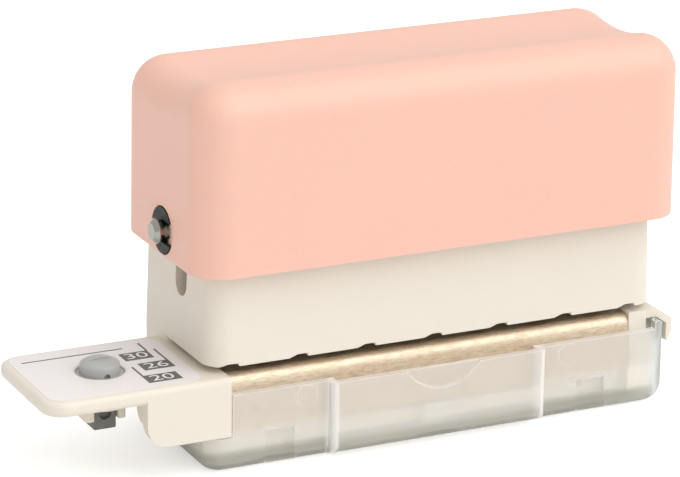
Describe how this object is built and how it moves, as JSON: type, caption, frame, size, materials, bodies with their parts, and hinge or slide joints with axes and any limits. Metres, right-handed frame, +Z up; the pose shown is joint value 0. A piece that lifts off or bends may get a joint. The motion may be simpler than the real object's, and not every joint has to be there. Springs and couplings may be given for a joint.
{
  "type": "six-hole punch",
  "caption": "Desktop punch for ring-binder pages: a cap pressed down on a housing drives a row of punches through a die plate into a clear chip tray, with a side arm and sprung locating stud.",
  "frame": {"origin": "on the resting face of the chip tray, straight below the middle of the row of six punches", "axes": "+X along the row to the right, away from the arm; +Y from the front of the punch to its back; +Z up"},
  "size_m": [0.0902, 0.0263, 0.0503],
  "materials": {
    "pink_plastic": "satin",
    "cream_plastic": "fine satin",
    "grey_plastic": "matte",
    "stud_plastic": "satin",
    "dark_plastic": "matte",
    "clear_plastic": "frosted",
    "yellow_steel": "yellow zinc",
    "plated_steel": "zinc",
    "bright_steel": "ground",
    "spring_steel": "drawn",
    "screw_steel": "zinc",
    "black_steel": "black oxide",
    "label_film": "printed film"
  },
  "bodies": {
    "stand": {"base": "cream_plastic", "housing": "cream_plastic", "die_plate": "yellow_steel", "guide_plate": "plated_steel", "die_screws": "screw_steel", "housing_screws": "screw_steel", "spring_posts": "bright_steel", "gauge_label": "label_film", "return_spring_left": "spring_steel", "return_spring_right": "spring_steel", "stud_spring": "spring_steel"},
    "press": {"press_cap": "pink_plastic", "drive_axle": "bright_steel", "axle_clips": "black_steel", "punch_carrier": "grey_plastic", "punch_retainer": "plated_steel", "retainer_screws": "screw_steel", "punch_1": "bright_steel", "punch_2": "bright_steel", "punch_3": "bright_steel", "punch_4": "bright_steel", "punch_5": "bright_steel", "punch_6": "bright_steel"},
    "stud": {"locating_stud": "stud_plastic", "stud_foot": "dark_plastic"},
    "tray": {"chip_tray": "clear_plastic"}
  },
  "joints": [
    {"name": "press_slide", "type": "slide", "parent": "stand", "child": "press", "axis": [0, 0, -1], "range_m": [0, 0.00685], "stiffness_N_per_m": 1500, "springref_m": -0.004, "deforming": ["return_spring_left", "return_spring_right"]},
    {"name": "stud_press", "type": "slide", "parent": "stand", "child": "stud", "axis": [0, 0, -1], "range_m": [0, 0.0019], "stiffness_N_per_m": 100, "springref_m": -0.001, "deforming": ["stud_spring"]},
    {"name": "tray_pull", "type": "slide", "parent": "stand", "child": "tray", "axis": [0, 0, -1], "range_m": [0, 0.015]}
  ]
}
